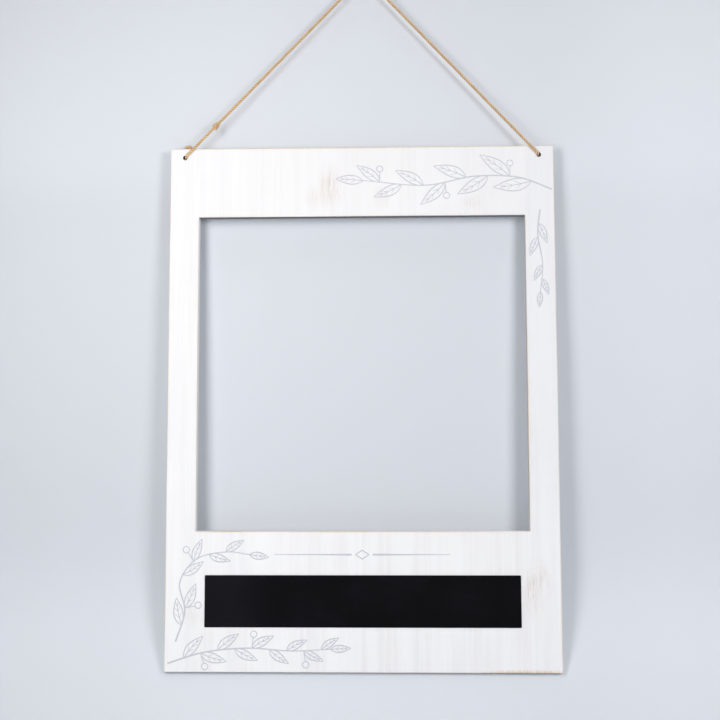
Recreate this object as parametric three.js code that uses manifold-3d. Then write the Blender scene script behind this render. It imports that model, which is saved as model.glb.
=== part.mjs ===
// Hanging photo booth frame: a white-washed wooden board with a large open window, a black
// writing panel under the window, and a twine hanger knotted through a hole in each top corner.
// Millimetres, +Z up, the front faces -Y. The origin is where a hook bears on the twine.
import * as THREE from 'three';
import { mergeVertices } from 'three/addons/utils/BufferGeometryUtils.js';
import Module from 'manifold-3d';

// Board, glued up from upright staves
const BOARD_WIDTH = 448;
const BOARD_HEIGHT = 602;
const BOARD_THICKNESS = 9;
const STILE_WIDTH = 34.5;
const TOP_RAIL_HEIGHT = 82.5;
const BOTTOM_RAIL_HEIGHT = 157;
const STAVES_PER_RAIL = 6;
const ARRIS_RADIUS = 1.25;
const ARRIS_STEPS = 2;

// Writing panel, bonded to the front of the bottom rail
const PANEL_WIDTH = 357;
const PANEL_HEIGHT = 58;
const PANEL_THICKNESS = 0.75;
const PANEL_ABOVE_BOTTOM = 50;

// Twine holes, on the stiles' centre lines
const HOLE_DIAMETER = 5;
const HOLE_BELOW_TOP = 11;
const HOLE_SIDES = 24;

// Twine hanger
const TWINE_DIAMETER = 3;
const TWINE_SIDES = 8;
const TWINE_STEP = 7.4;
const HOOK_ABOVE_BOARD = 202;
const HOOK_RIGHT_OF_MIDDLE = 4;
const TOUCH_GAP = 0.25;

// Knots: how long, how fat, how many wraps, and the bare neck between the wraps
const REAR_KNOT_LENGTH = 7;
const REAR_KNOT_DIAMETER = 8.5;
const JOINING_KNOT_LENGTH = 10;
const JOINING_KNOT_DIAMETER = 5.6;
const KNOT_WRAPS = 2;
const KNOT_NECK_DIAMETER = 3.6;
const KNOT_STEPS_PER_WRAP = 5;
const KNOT_SIDES = 12;
const TAIL_STEP = 2.5;

// Places worked out from those sizes. The board's own frame has its bottom edge's middle, on the
// front face, as origin.
const TWINE_RADIUS = TWINE_DIAMETER / 2;
const FRONT_FACE_Y = TWINE_RADIUS + TOUCH_GAP;
const BACK_FACE_Y = FRONT_FACE_Y + BOARD_THICKNESS;
const BOARD_BOTTOM_Z = -HOOK_ABOVE_BOARD - BOARD_HEIGHT;
const WINDOW_WIDTH = BOARD_WIDTH - 2 * STILE_WIDTH;
const WINDOW_BOTTOM = BOTTOM_RAIL_HEIGHT;
const WINDOW_TOP = BOARD_HEIGHT - TOP_RAIL_HEIGHT;
const HOLE_FROM_MIDDLE = BOARD_WIDTH / 2 - STILE_WIDTH / 2;
const HOLE_ABOVE_BOTTOM = BOARD_HEIGHT - HOLE_BELOW_TOP;
const HOLE_Z = BOARD_BOTTOM_Z + HOLE_ABOVE_BOTTOM;
const LEFT_HOLE_X = -HOOK_RIGHT_OF_MIDDLE - HOLE_FROM_MIDDLE;
const RIGHT_HOLE_X = -HOOK_RIGHT_OF_MIDDLE + HOLE_FROM_MIDDLE;

// The twine's route in its own upright plane, from the joining knot on the left leg, over the hook
// and down to the right hole. The legs are drawn taut, and the bight rounds the hook.
const JOINING_KNOT_CENTRE = [-174, -175];
const HANGER_ROUTE = [
  [-140, -139.8],
  [-100, -98.4],
  [-60, -57],
  [-25, -20.8],
  [-12, -7.3],
  [-5.7, -0.9],
  [-3, 0.9],
  [0.1, 1.5],
  [3.2, 0.9],
  [6, -1],
  [12, -7.8],
  [25, -21.8],
  [60, -59.4],
  [100, -102.5],
  [150, -156.3],
];

// The rear knots' loose tails: steps right, back and up from the middle of the knot. The left tail
// curls over above the board's top edge and the right one hangs down behind the stile.
const LEFT_TAIL_ROUTE = [
  [0, 0, 0],
  [2.4, 0.4, 5],
  [4.6, 0, 10],
  [4.2, -0.4, 14],
  [1.6, -0.6, 16.2],
  [-2, -0.6, 16.4],
];
const RIGHT_TAIL_ROUTE = [
  [0, 0, 0],
  [1.2, 0.6, -5],
  [1.8, 0.4, -10],
  [3, -0.2, -15],
];

// Finishes
const WHITEWASH = new THREE.MeshStandardMaterial({ color: 0xf1f0ee, roughness: 0.75, metalness: 0 });
const CHALKBOARD = new THREE.MeshStandardMaterial({ color: 0x17171b, roughness: 0.9, metalness: 0 });
const JUTE = new THREE.MeshStandardMaterial({ color: 0xb98f58, roughness: 0.95, metalness: 0 });

const wasm = await Module();
wasm.setup();

// A closed three.js geometry as a solid that can be joined and cut
function toSolid(geometry) {
  const bare = geometry.clone();
  bare.deleteAttribute('normal');
  bare.deleteAttribute('uv');
  const merged = mergeVertices(bare, 1e-3);
  const mesh = new wasm.Mesh({
    numProp: 3,
    vertProperties: new Float32Array(merged.attributes.position.array),
    triVerts: new Uint32Array(merged.index.array),
  });
  return new wasm.Manifold(mesh);
}

function toGeometry(solid) {
  const mesh = solid.getMesh();
  const geometry = new THREE.BufferGeometry();
  geometry.setAttribute('position', new THREE.BufferAttribute(mesh.vertProperties, 3));
  geometry.setIndex(new THREE.BufferAttribute(mesh.triVerts, 1));
  geometry.computeVertexNormals();
  return geometry;
}

function boxBetween(low, high) {
  const box = new THREE.Box3(new THREE.Vector3(...low), new THREE.Vector3(...high));
  const size = box.getSize(new THREE.Vector3());
  const centre = box.getCenter(new THREE.Vector3());
  return new THREE.BoxGeometry(size.x, size.y, size.z).translate(centre.x, centre.y, centre.z);
}

function addPiece(group, name, geometry, material) {
  const mesh = new THREE.Mesh(geometry, material);
  mesh.name = name;
  group.add(mesh);
  return mesh;
}

// The glued-up board after its window is open, its arrises are sanded round and its holes are drilled
function boardBlank() {
  const halfWidth = BOARD_WIDTH / 2;
  const halfWindow = WINDOW_WIDTH / 2;
  const outline = new THREE.Shape();
  outline.moveTo(-halfWidth, 0);
  outline.lineTo(halfWidth, 0);
  outline.lineTo(halfWidth, BOARD_HEIGHT);
  outline.lineTo(-halfWidth, BOARD_HEIGHT);
  outline.closePath();
  const windowPath = new THREE.Path();
  windowPath.moveTo(-halfWindow, WINDOW_BOTTOM);
  windowPath.lineTo(-halfWindow, WINDOW_TOP);
  windowPath.lineTo(halfWindow, WINDOW_TOP);
  windowPath.lineTo(halfWindow, WINDOW_BOTTOM);
  windowPath.closePath();
  outline.holes.push(windowPath);
  const slab = new THREE.ExtrudeGeometry(outline, {
    depth: BOARD_THICKNESS - 2 * ARRIS_RADIUS,
    bevelEnabled: true,
    bevelThickness: ARRIS_RADIUS,
    bevelSize: ARRIS_RADIUS,
    bevelOffset: -ARRIS_RADIUS,
    bevelSegments: ARRIS_STEPS,
  });
  slab.translate(0, 0, ARRIS_RADIUS - BOARD_THICKNESS);
  slab.rotateX(Math.PI / 2);
  let solid = toSolid(slab);
  for (const side of [-1, 1]) {
    const drillRadius = HOLE_DIAMETER / 2;
    const drill = new THREE.CylinderGeometry(drillRadius, drillRadius, 2 * BOARD_THICKNESS, HOLE_SIDES);
    drill.translate(side * HOLE_FROM_MIDDLE, BOARD_THICKNESS / 2, HOLE_ABOVE_BOTTOM);
    solid = solid.subtract(toSolid(drill));
  }
  return solid;
}

// One stave of the blank, between two upright glue lines and two heights
function stave(blank, left, right, bottom, top) {
  const block = boxBetween([left, -BOARD_THICKNESS, bottom], [right, 2 * BOARD_THICKNESS, top]);
  return toGeometry(blank.intersect(toSolid(block)));
}

function addStaves(board) {
  const blank = boardBlank();
  const outside = BOARD_WIDTH;
  const below = -BOARD_THICKNESS;
  const above = BOARD_HEIGHT + BOARD_THICKNESS;
  const halfWindow = WINDOW_WIDTH / 2;
  const windowMiddle = (WINDOW_BOTTOM + WINDOW_TOP) / 2;
  addPiece(board, 'left_stile', stave(blank, -outside, -halfWindow, below, above), WHITEWASH);
  addPiece(board, 'right_stile', stave(blank, halfWindow, outside, below, above), WHITEWASH);
  const glueLine = (index) => -halfWindow + (WINDOW_WIDTH * index) / STAVES_PER_RAIL;
  for (let i = 0; i < STAVES_PER_RAIL; i += 1) {
    const left = glueLine(i);
    const right = glueLine(i + 1);
    addPiece(board, `top_stave_${i + 1}`, stave(blank, left, right, windowMiddle, above), WHITEWASH);
    addPiece(board, `bottom_stave_${i + 1}`, stave(blank, left, right, below, windowMiddle), WHITEWASH);
  }
}

function addWritingPanel(board) {
  const low = [-PANEL_WIDTH / 2, -PANEL_THICKNESS, PANEL_ABOVE_BOTTOM];
  const high = [PANEL_WIDTH / 2, 0, PANEL_ABOVE_BOTTOM + PANEL_HEIGHT];
  addPiece(board, 'writing_panel', boxBetween(low, high), CHALKBOARD);
}

// A plain tube of the twine's diameter along a curve
function twineTube(curve, step) {
  const section = new THREE.Shape();
  for (let i = 0; i < TWINE_SIDES; i += 1) {
    const turn = (2 * Math.PI * i) / TWINE_SIDES;
    const x = TWINE_RADIUS * Math.cos(turn);
    const y = TWINE_RADIUS * Math.sin(turn);
    if (i === 0) section.moveTo(x, y);
    else section.lineTo(x, y);
  }
  section.closePath();
  const steps = Math.max(1, Math.round(curve.getLength() / step));
  return new THREE.ExtrudeGeometry(section, { steps, bevelEnabled: false, extrudePath: curve });
}

// A pulled-down knot: wraps of twine lying side by side along +Y, from the origin
function knot(length, diameter) {
  const neck = KNOT_NECK_DIAMETER / 2;
  const bulge = (diameter - KNOT_NECK_DIAMETER) / 2;
  const count = KNOT_WRAPS * KNOT_STEPS_PER_WRAP;
  const profile = [new THREE.Vector2(0, 0)];
  for (let i = 0; i <= count; i += 1) {
    const swell = Math.abs(Math.sin((Math.PI * i) / KNOT_STEPS_PER_WRAP));
    profile.push(new THREE.Vector2(neck + bulge * swell, (length * i) / count));
  }
  profile.push(new THREE.Vector2(0, length));
  return new THREE.LatheGeometry(profile, KNOT_SIDES);
}

function inTwinePlane([x, z]) {
  return new THREE.Vector3(x, 0, z);
}

// The two free lengths of twine and the knot that joins them on the left leg
function addHanger(group) {
  const leftMouth = new THREE.Vector3(LEFT_HOLE_X, 0, HOLE_Z);
  const rightMouth = new THREE.Vector3(RIGHT_HOLE_X, 0, HOLE_Z);
  const knotCentre = inTwinePlane(JOINING_KNOT_CENTRE);
  const upLeg = knotCentre.clone().sub(leftMouth).normalize();
  const halfKnot = JOINING_KNOT_LENGTH / 2;
  const shortEnd = knotCentre.clone().addScaledVector(upLeg, -halfKnot - TOUCH_GAP);
  const longStart = knotCentre.clone().addScaledVector(upLeg, halfKnot + TOUCH_GAP);
  const shortRoute = new THREE.LineCurve3(leftMouth, shortEnd);
  const longRoute = new THREE.CatmullRomCurve3([longStart, ...HANGER_ROUTE.map(inTwinePlane), rightMouth]);
  addPiece(group, 'twine_short_length', twineTube(shortRoute, TWINE_STEP), JUTE);
  addPiece(group, 'twine_long_length', twineTube(longRoute, TWINE_STEP), JUTE);
  const joiningKnot = addPiece(group, 'joining_knot', knot(JOINING_KNOT_LENGTH, JOINING_KNOT_DIAMETER), JUTE);
  joiningKnot.position.copy(knotCentre).addScaledVector(upLeg, -halfKnot);
  joiningKnot.quaternion.setFromUnitVectors(new THREE.Vector3(0, 1, 0), upLeg);
}

// The strand in one hole, and the stopper knot with its tail behind the board
function addHoleTwine(group, side, holeX, tailRoute) {
  const front = new THREE.Vector3(holeX, FRONT_FACE_Y, HOLE_Z);
  const back = new THREE.Vector3(holeX, BACK_FACE_Y, HOLE_Z);
  addPiece(group, `${side}_hole_strand`, twineTube(new THREE.LineCurve3(front, back), BOARD_THICKNESS), JUTE);
  const middle = new THREE.Vector3(0, REAR_KNOT_LENGTH / 2, 0);
  const tail = new THREE.CatmullRomCurve3(tailRoute.map((step) => new THREE.Vector3(...step).add(middle)));
  const knotted = toSolid(knot(REAR_KNOT_LENGTH, REAR_KNOT_DIAMETER)).add(toSolid(twineTube(tail, TAIL_STEP)));
  const rearKnot = addPiece(group, `${side}_rear_knot`, toGeometry(knotted), JUTE);
  rearKnot.position.set(holeX, BACK_FACE_Y + TOUCH_GAP, HOLE_Z);
}

const photoBoothFrame = new THREE.Group();
const board = new THREE.Group();
board.position.set(-HOOK_RIGHT_OF_MIDDLE, FRONT_FACE_Y, BOARD_BOTTOM_Z);
photoBoothFrame.add(board);
addStaves(board);
addWritingPanel(board);
addHanger(photoBoothFrame);
addHoleTwine(photoBoothFrame, 'left', LEFT_HOLE_X, LEFT_TAIL_ROUTE);
addHoleTwine(photoBoothFrame, 'right', RIGHT_HOLE_X, RIGHT_TAIL_ROUTE);

export default photoBoothFrame;
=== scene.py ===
# Hanging photo booth frame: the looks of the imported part, in metres, in the part's own frame.
# +X is the viewer's right, +Y goes back to the wall, +Z is up, and the front faces -Y.
import bmesh
import bpy
import math
import numpy as np
import random
from mathutils import Matrix, Vector, noise


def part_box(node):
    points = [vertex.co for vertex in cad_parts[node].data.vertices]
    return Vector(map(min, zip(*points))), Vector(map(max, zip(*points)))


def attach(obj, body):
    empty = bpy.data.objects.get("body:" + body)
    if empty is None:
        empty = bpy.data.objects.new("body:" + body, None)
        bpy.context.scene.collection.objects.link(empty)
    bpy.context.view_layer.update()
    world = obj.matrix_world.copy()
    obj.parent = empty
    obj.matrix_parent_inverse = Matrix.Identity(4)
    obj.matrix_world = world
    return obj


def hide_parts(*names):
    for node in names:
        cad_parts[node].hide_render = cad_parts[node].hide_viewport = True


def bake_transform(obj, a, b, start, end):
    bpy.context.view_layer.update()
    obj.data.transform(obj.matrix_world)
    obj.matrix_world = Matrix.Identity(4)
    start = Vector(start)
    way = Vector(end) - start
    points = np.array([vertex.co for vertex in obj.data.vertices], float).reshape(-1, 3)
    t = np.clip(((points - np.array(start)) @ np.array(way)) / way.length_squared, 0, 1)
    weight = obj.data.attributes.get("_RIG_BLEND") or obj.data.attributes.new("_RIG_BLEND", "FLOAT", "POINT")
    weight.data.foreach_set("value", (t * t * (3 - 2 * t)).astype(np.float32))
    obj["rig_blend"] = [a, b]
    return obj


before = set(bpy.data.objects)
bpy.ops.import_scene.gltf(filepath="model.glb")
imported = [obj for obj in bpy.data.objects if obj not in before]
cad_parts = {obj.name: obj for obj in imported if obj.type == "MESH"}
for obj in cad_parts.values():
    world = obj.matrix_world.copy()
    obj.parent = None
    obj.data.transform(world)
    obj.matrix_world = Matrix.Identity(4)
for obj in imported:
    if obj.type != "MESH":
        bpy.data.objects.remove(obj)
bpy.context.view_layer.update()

MM = 0.001

# Camera, worked out from the board's corners in the photograph
CAMERA_PLACE = (0.02317, -1.14348, -0.54755)
CAMERA_LOOK = (-0.02539, 0.99622, 0.08308)
CAMERA_UP = (0.00448, -0.083, 0.99654)
CAMERA_LENS = 50
CAMERA_SENSOR = 36

# Backdrop: a sheet of pale paper that hangs behind the board and sweeps forwards into the floor.
# Steps back from the twine's plane, and heights
PAPER_PROFILE = [
    (0.008, 2.6),
    (0.009, 0.6),
    (0.0096, 0.0),
    (0.0112, -0.10),
    (0.0137, -0.17),
    (0.0168, -0.215),
    (0.0205, -0.30),
    (0.0258, -0.45),
    (0.0295, -0.60),
]
PAPER_SWEEP_FROM = -0.68
PAPER_SWEEP_RADIUS = 0.34
PAPER_SWEEP_STEPS = 48
PAPER_STEP = 5 * MM
PAPER_FRONT = -2.6
PAPER_HALF_WIDTH = 2.5
PAPER_COLOUR = (0.676, 0.709, 0.757, 1)
PAPER_ROUGHNESS = 0.9
PAPER_SHINE = 0.1

# The paper fades out of sight between these distances aside, ahead and above
PAPER_SHOWN_ASIDE = (0.46, 0.9)
PAPER_SHOWN_AHEAD = (0.06, 0.22)
PAPER_SHOWN_ABOVE = (0.1, 0.5)

# Rays past this depth have bounced more than once
BOUNCED_DEPTH = 1.5

# The world: what the camera sees past the paper, and the light from all round
BACKDROP_COLOUR = (0.70, 0.74, 0.79, 1)
AMBIENT_COLOUR = (0.06, 0.059, 0.06, 1)

# How the paper is painted lighter or darker towards its edges, as painted light and shade that evens out the
# lamps: along what, from where, to where, by how much
PAPER_LIGHT_AND_SHADE_TONES = [
    ("X", -0.12, -0.32, -0.03),
    ("X", 0.19, 0.37, 0.07),
    ("Z", -0.284, -0.202, 0.05),
    ("Z", -0.60, -0.80, 0.14),
]

# Lamps: where they stand, how wide and tall they are, how strong, and their colour
LAMPS = {
    "lamp_left": ((-0.46, -0.68, -0.31), 0.32, 0.88, 4.82, (1.0, 0.988, 0.975)),
    "lamp_right": ((0.75, -0.95, -0.22), 0.45, 0.55, 7.25, (1.0, 0.992, 0.988)),
    "lamp_above": ((0.0, -0.35, 0.75), 0.8, 0.3, 1.8, (1.0, 0.99, 0.985)),
    "lamp_behind": ((0.9, 1.9, 0.1), 1.4, 1.4, 30.0, (1.0, 1.0, 1.0)),
}

# Board: its arrises are rounds, with support and near sections so many radii from the edge, and even
# sections further off, clear of those
ARRIS_RADIUS = 1.25 * MM
ARRIS_STEPS = 5
ARRIS_SUPPORT = 2.2
ARRIS_NEAR = 1.6
ARRIS_CLEAR = 1.2
CORNER_RADIUS = 1.3 * MM
STATION_STEP = 4 * MM

# How unevenly the arrises are sanded by hand and rubbed bare, except where two of them meet
SAND_LEAST = 0.85
SAND_MOST = 1.2
SAND_WANDER = 0.3
BARE_LEAST = 0.3
BARE_WANDER = 0.5
JUNCTION_FADE = 14 * MM

# The two twine holes, and the angles from which a piece's edge and a drilled stile's edge count as sharp
HOLE_RADIUS = 2.5 * MM
HOLE_EASING = 0.3 * MM
HOLE_FLARE = 2 * MM
HOLE_SIDES = 32
SHARP_ANGLE = math.radians(50)
RIM_ANGLE = math.radians(30)

# Noise along an arris: waves a metre, how far apart the arrises lie in it, and its depth
SAND_NOISE = (14, 5.7, 0.3)
BARE_NOISE = (9, 8.3, 4.1)

# The staves: their names, the number of each group's first arris, and the seed of their tones
TOP_STAVES = [f"top_stave_{i}" for i in range(1, 7)]
BOTTOM_STAVES = [f"bottom_stave_{i}" for i in range(1, 7)]
LEFT_ARRISES = 1
RIGHT_ARRISES = 21
TOP_ARRISES = 41
BOTTOM_ARRISES = 61
STAVE_SEED = 11

# Writing panel
PANEL_CORNER = 1.2 * MM
PANEL_EASING = 0.22 * MM
PANEL_STEPS = 6

# Twine: three plies with slubs, which are their thick places, and loose hairs
PLY_COUNT = 3
PLY_RADIUS = 0.79 * MM
PLY_ORBIT = 0.88 * MM
PLY_SIDES = 10
TWINE_LAY = 9.2 * MM
TWINE_STEP = 0.6 * MM
CURVE_POINTS = 60
NEARLY_UPRIGHT = 0.2
FIBRE_TURNS_PER_METRE = 70
FIBRES_APART = 0.37
SLUBS_PER_METRE = 120
SLUBS_APART = 4.7
SLUB_DEPTH = 1.9
SLUB_SWELL = 0.16
SLUB_SHIFT = 0.1
HAIRS_PER_METRE = 850
HAIR_RADIUS = 0.035 * MM
HAIR_REACH = 2.0 * MM
HAIR_ROOT = 1.55 * PLY_RADIUS
HAIR_POINTS = 6
HAIR_SIDES = 3
HAIR_TAPER = 0.8
HAIR_TILT = 0.3
TWINE_SEED = 7

# A loose fibre: the least and most that it leans along, aside and out, bends, sags and reaches
FUZZ_ALONG = (0.5, 1.2)
FUZZ_ASIDE = (-0.6, 0.6)
FUZZ_OUT = (0.25, 0.8)
FUZZ_BEND = (-0.4, 0.4)
FUZZ_SAG = (-0.15, 0.3)
FUZZ_REACH = (0.5, 1.5)

# A frayed end: its fibres, and the least and most that they spread, bend, stand off and reach
FRAYED_FIBRES = 26
FRAY_OVERLAP = 0.8 * MM
FRAY_STEPS = 6
FRAY_SPREAD = (0.05, 0.6)
FRAY_BEND = (-0.1, 0.35)
FRAY_ROOT = (0.2, 1.6)
FRAY_REACH = (0.7, 1.6)

# The twine's route in its own upright plane: steps up the left leg from its hole, the joining knot, and
# places from that knot over the hook to the right hole
LEFT_LEG_STEPS = (0.022, 0.038)
JOINING_KNOT_CENTRE = (-0.174, -0.175)
HANGER_ROUTE = [
    (-0.140, -0.1398),
    (-0.100, -0.0984),
    (-0.060, -0.057),
    (-0.025, -0.0208),
    (-0.012, -0.0073),
    (-0.0057, -0.0009),
    (-0.003, 0.0009),
    (0.0001, 0.0015),
    (0.0032, 0.0009),
    (0.006, -0.001),
    (0.012, -0.0078),
    (0.025, -0.0218),
    (0.060, -0.0594),
    (0.100, -0.1025),
    (0.150, -0.1563),
]

# How the twine turns out of a hole: steps along the leg and back into the board, from the hole's mouth
HOLE_TURN = [
    (0.0007, 0.0094),
    (0.0007, 0.0070),
    (0.0008, 0.0048),
    (0.0012, 0.0028),
    (0.0021, 0.0012),
    (0.0036, 0.0002),
    (0.0058, -0.0001),
    (0.0090, 0.0),
]

# How far above the left mouth the twine starts and ends its change from the board to the hanger
BLEND_FROM = 1.5 * MM
BLEND_TO = 10 * MM

# Places taken from the frame
stile_low, stile_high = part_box("left_stile")
right_low, right_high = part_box("right_stile")
BOARD_LEFT, BOARD_RIGHT = stile_low.x, right_high.x
BOARD_BOTTOM, BOARD_TOP = stile_low.z, stile_high.z
FRONT_Y, BACK_Y = stile_low.y, stile_high.y
WINDOW_LEFT, WINDOW_RIGHT = stile_high.x, right_low.x
WINDOW_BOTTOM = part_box("bottom_stave_1")[1].z
WINDOW_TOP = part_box("top_stave_1")[0].z

# Where the edges are rubbed down to bare wood: middle, half width, half height, strength.
# The window's rubs stop short of the stiles
RUBS = [
    ((0.180, BOARD_BOTTOM + 1.0 * MM), 0.055, 0.0028, 1.2),
    ((0.0, BOARD_TOP), 0.240, 0.0024, 0.70),
    ((BOARD_LEFT, -0.284), 0.0012, 0.024, 0.55),
    ((BOARD_LEFT, -0.400), 0.0014, 0.220, 0.20),
    ((BOARD_LEFT, -0.720), 0.0012, 0.045, 0.45),
    ((BOARD_RIGHT, -0.290), 0.0012, 0.030, 0.45),
    ((WINDOW_RIGHT - 0.5 * MM, -0.310), 0.0012, 0.040, 0.35),
    ((WINDOW_RIGHT + 0.5 * MM, -0.495), 0.0024, 0.100, 0.42),
]
WINDOW_RUBS = [
    ((-0.156, WINDOW_BOTTOM), 0.030, 0.0018, 0.45),
    ((-0.004, WINDOW_BOTTOM), 0.190, 0.0020, 0.50),
    ((0.0, WINDOW_TOP), 0.180, 0.0011, 0.30),
]
WINDOW_RUB_FADE = 3 * MM
RUBBED_EVERYWHERE = 0.29


def hole_mouth(strand):
    """The middle of a hole's mouth, in the twine's own plane."""
    low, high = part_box(strand)
    return np.array(((low.x + high.x) / 2, 0.0, (low.z + high.z) / 2))


LEFT_MOUTH = hole_mouth("left_hole_strand")
RIGHT_MOUTH = hole_mouth("right_hole_strand")


# Shader building

def feed(tree, socket, value):
    """Links a socket into an input, or sets the input's own value."""
    if isinstance(value, bpy.types.NodeSocket):
        tree.links.new(value, socket)
    else:
        socket.default_value = value


def put(tree, kind, settings=None, **inputs):
    """Adds a node with its settings, and feeds its inputs by name."""
    node = tree.nodes.new(kind)
    for name, value in (settings or {}).items():
        setattr(node, name, value)
    for name, value in inputs.items():
        feed(tree, node.inputs[name.replace("_", " ")], value)
    return node


def calc(tree, operation, first, second=0.0, clamp=False):
    """One step of arithmetic."""
    node = put(tree, "ShaderNodeMath", {"operation": operation, "use_clamp": clamp})
    feed(tree, node.inputs[0], first)
    feed(tree, node.inputs[1], second)
    return node.outputs[0]


def vector_calc(tree, operation, first, second):
    """One step of arithmetic on vectors. SCALE takes a number as its second value."""
    node = put(tree, "ShaderNodeVectorMath", {"operation": operation})
    feed(tree, node.inputs[0], first)
    feed(tree, node.inputs["Scale" if operation == "SCALE" else 1], second)
    return node.outputs[0]


def ramp(tree, value, low, high, to_low=0.0, to_high=1.0):
    """A smooth step from one value to another."""
    node = put(tree, "ShaderNodeMapRange", {"interpolation_type": "SMOOTHSTEP"}, Value=value)
    feed(tree, node.inputs["From Min"], low)
    feed(tree, node.inputs["From Max"], high)
    feed(tree, node.inputs["To Min"], to_low)
    feed(tree, node.inputs["To Max"], to_high)
    return node.outputs[0]


def tinted(tree, share, low, high, blend="MIX"):
    """Two colours mixed by a mask."""
    node = put(tree, "ShaderNodeMix", {"data_type": "RGBA", "blend_type": blend})
    feed(tree, node.inputs[0], share)
    feed(tree, node.inputs[6], low)
    feed(tree, node.inputs[7], high)
    return node.outputs[2]


def attribute(tree, name, output="Fac"):
    return put(tree, "ShaderNodeAttribute", {"attribute_name": name}).outputs[output]


def weighted(tree, *terms):
    """A sum of values, each times its weight."""
    total = 0.0
    for value, weight in terms:
        total = calc(tree, "ADD", total, calc(tree, "MULTIPLY", value, weight))
    return total


def length_of(tree, vector):
    node = put(tree, "ShaderNodeVectorMath", {"operation": "LENGTH"})
    tree.links.new(vector, node.inputs[0])
    return node.outputs["Value"]


def parts_of(tree, vector):
    return put(tree, "ShaderNodeSeparateXYZ", Vector=vector).outputs


def object_place(tree):
    return put(tree, "ShaderNodeTexCoord").outputs["Object"]


def new_group(name, values, result):
    """An empty shader group that takes a place and some values, and puts out one number."""
    tree = bpy.data.node_groups.new(name, "ShaderNodeTree")
    tree.interface.new_socket(name="Place", in_out="INPUT", socket_type="NodeSocketVector")
    for value in values:
        tree.interface.new_socket(name=value, in_out="INPUT", socket_type="NodeSocketFloat")
    tree.interface.new_socket(name=result, in_out="OUTPUT", socket_type="NodeSocketFloat")
    taken = tree.nodes.new("NodeGroupInput").outputs
    return tree, taken, tree.nodes.new("NodeGroupOutput").inputs[result]


# The part of the noise that a streak keeps, and how fine a patch is
STREAK_REACH = (0.25, 0.75)
PATCH_DETAIL = 4.0


def streak_group():
    """Long soft streaks along Z: wood grain, brush marks, chalk smears and jute fibres."""
    tree, taken, streak = new_group("streaks", ["Across", "Along", "Detail"], "Streak")
    scale = put(tree, "ShaderNodeCombineXYZ", X=taken["Across"], Y=taken["Across"], Z=taken["Along"])
    place = vector_calc(tree, "MULTIPLY", taken["Place"], scale.outputs[0])
    cloud = put(tree, "ShaderNodeTexNoise", Vector=place, Scale=1.0, Detail=taken["Detail"])
    tree.links.new(ramp(tree, cloud.outputs["Fac"], *STREAK_REACH), streak)
    return tree


def patch_group():
    """Soft uneven patches, such as thin paint or chalk haze."""
    tree, taken, patch = new_group("patches", ["Scale", "Least", "Most"], "Patch")
    values = {"Vector": taken["Place"], "Scale": taken["Scale"], "Detail": PATCH_DETAIL}
    cloud = put(tree, "ShaderNodeTexNoise", **values)
    tree.links.new(ramp(tree, cloud.outputs["Fac"], taken["Least"], taken["Most"]), patch)
    return tree


STREAKS = streak_group()
PATCHES = patch_group()


def streaks(tree, place, across, along, detail=3.0):
    values = {"Place": place, "Across": across, "Along": along, "Detail": detail}
    return put(tree, "ShaderNodeGroup", {"node_tree": STREAKS}, **values).outputs["Streak"]


def patches(tree, place, scale, least, most):
    values = {"Place": place, "Scale": scale, "Least": least, "Most": most}
    return put(tree, "ShaderNodeGroup", {"node_tree": PATCHES}, **values).outputs["Patch"]


def new_material(name):
    """A material with one Principled shader: the material, its tree and the shader."""
    material = bpy.data.materials.new(name)
    material.use_nodes = True
    tree = material.node_tree
    return material, tree, tree.nodes["Principled BSDF"]


def raise_surface(tree, shader, height, depth, strength):
    bump = put(tree, "ShaderNodeBump", Height=height, Strength=strength, Distance=depth)
    tree.links.new(bump.outputs[0], shader.inputs["Normal"])


# Materials

WASH_COLOUR = (0.888, 0.889, 0.897, 1)
FOOT_LIGHT_WASH_COLOUR = (0.953, 0.954, 0.960, 1)
THIN_WASH_COLOUR = (0.80, 0.785, 0.795, 1)
COOL_WASH_AND_SHADE_COLOUR = (0.845, 0.856, 0.885, 1)
ROSY_WASH_COLOUR = (0.865, 0.84, 0.862, 1)
BLUE_WASH_COLOUR = (0.835, 0.852, 0.888, 1)
# Edges that face sideways: a thinner wash with painted shade
EDGE_WASH_AND_SHADE_COLOUR = (0.70, 0.70, 0.72, 1)
# Painted shade for faces that look down
SHADED_EDGE_COLOUR = (0.22, 0.22, 0.24, 1)
STAIN_COLOUR = (0.66, 0.54, 0.47, 1)
BARE_WOOD_COLOUR = (0.83, 0.68, 0.51, 1)
DARK_WOOD_COLOUR = (0.70, 0.51, 0.32, 1)
HOLE_SHADE_COLOUR = (0.035, 0.014, 0.01, 1)
PALE_JUTE_COLOUR = (0.95, 0.75, 0.49, 1)
GOLDEN_JUTE_COLOUR = (0.89, 0.64, 0.36, 1)
DEEP_JUTE_COLOUR = (0.72, 0.47, 0.24, 1)
JUTE_GROOVE_SHADE_COLOUR = (0.34, 0.185, 0.075, 1)
INK_COLOUR = (0.53, 0.54, 0.615, 1)
PALE_INK_COLOUR = (0.64, 0.645, 0.705, 1)
BLACK_COLOUR = (0.0022, 0.0021, 0.003, 1)
CHALK_DUST_COLOUR = (0.0075, 0.0072, 0.0095, 1)

# The wash gets cooler and darker to the right, partly a cooler tone and partly painted shade for light that
# falls off towards the right, and in one narrow step at the right stile, which is that stave's own tone
COOL_AND_SHADE_SHARE = 0.3
COOL_STILE_SHARE = 0.6
GLUE_LINE_WIDTH = 0.6 * MM

# The wash is painted paler towards the board's foot, between these heights, as painted light where the lamps
# fall off
FOOT_LIGHT_FROM = -0.50
FOOT_LIGHT_TO = -0.76

# Faint upright clouds in the wash: colour, how far they are drawn out, scale, least, most and share
WASH_CLOUDS = [
    (ROSY_WASH_COLOUR, 0.12, 34.0, 0.5, 0.8, 0.55),
    (BLUE_WASH_COLOUR, 0.10, 47.0, 0.52, 0.8, 0.5),
]

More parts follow.
